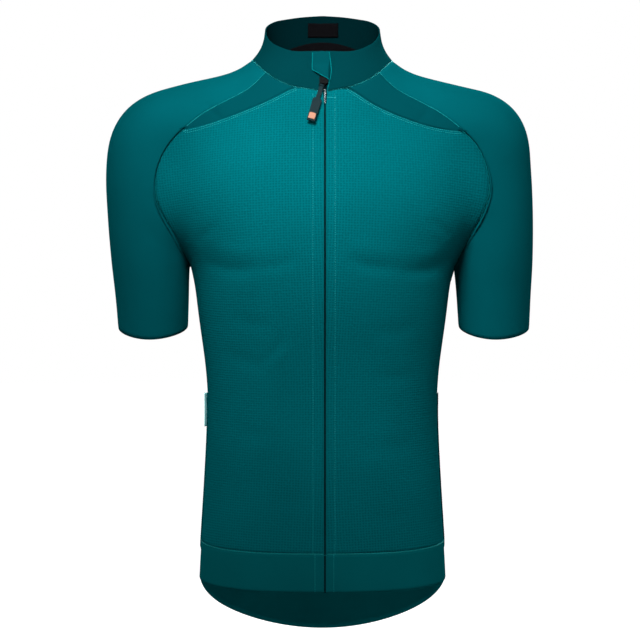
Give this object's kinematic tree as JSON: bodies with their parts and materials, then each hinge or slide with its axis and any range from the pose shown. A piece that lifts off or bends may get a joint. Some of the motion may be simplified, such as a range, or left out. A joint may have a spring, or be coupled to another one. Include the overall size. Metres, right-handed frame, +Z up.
{
  "type": "short-sleeved cycling jersey",
  "caption": "Close-fitting cycling jersey in worn form with raglan sleeves, stand collar, full front zip, hem band, dropped tail and rear pockets.",
  "frame": {"origin": "centre of the neck, level with the points where the wearer's shoulders meet the collar and hold the garment", "axes": "+Z up, front faces -Y, +X to the wearer's left"},
  "size_m": [0.5569, 0.248, 0.822],
  "materials": {
    "front_knit": "fine waffle knit, matt",
    "band_knit": "firm smooth knit, matt",
    "inset_knit": "fine smooth knit, matt",
    "sleeve_knit": "smooth stretch knit with a faint sheen",
    "back_knit": "smooth stretch knit, matt",
    "collar_knit": "smooth stretch knit, matt",
    "zip_tape": "woven tape",
    "zip_teeth": "pale nylon coil",
    "slider_metal": "black enamel",
    "pull_rubber": "matt moulded rubber",
    "tile_plastic": "pale orange inlay, bare",
    "label_cloth": "bare black satin",
    "reflective_film": "pale reflective tape"
  },
  "bodies": {
    "garment": {"front_left": "front_knit", "front_right": "front_knit", "hem_band_left": "band_knit", "hem_band_right": "band_knit", "shoulder_inset_left": "inset_knit", "shoulder_inset_right": "inset_knit", "sleeve_left": "sleeve_knit", "sleeve_right": "sleeve_knit", "back": "back_knit", "collar": "collar_knit", "zip_tape": "zip_tape", "zip_chain": "zip_teeth", "zip_slider": "slider_metal", "zip_garage": "collar_knit", "collar_label": "label_cloth", "neck_tape": "label_cloth", "rear_pocket": "back_knit", "reflective_strip": "reflective_film"},
    "pull": {"zip_pull": "pull_rubber", "pull_tile": "tile_plastic"}
  },
  "joints": [
    {"name": "pull_swing", "type": "hinge", "parent": "garment", "child": "pull", "pos_m": [-0.00098, -0.08922, -0.04083], "axis": [-0.9621, 0.0829, 0.2599], "range_deg": [0, 120]}
  ]
}
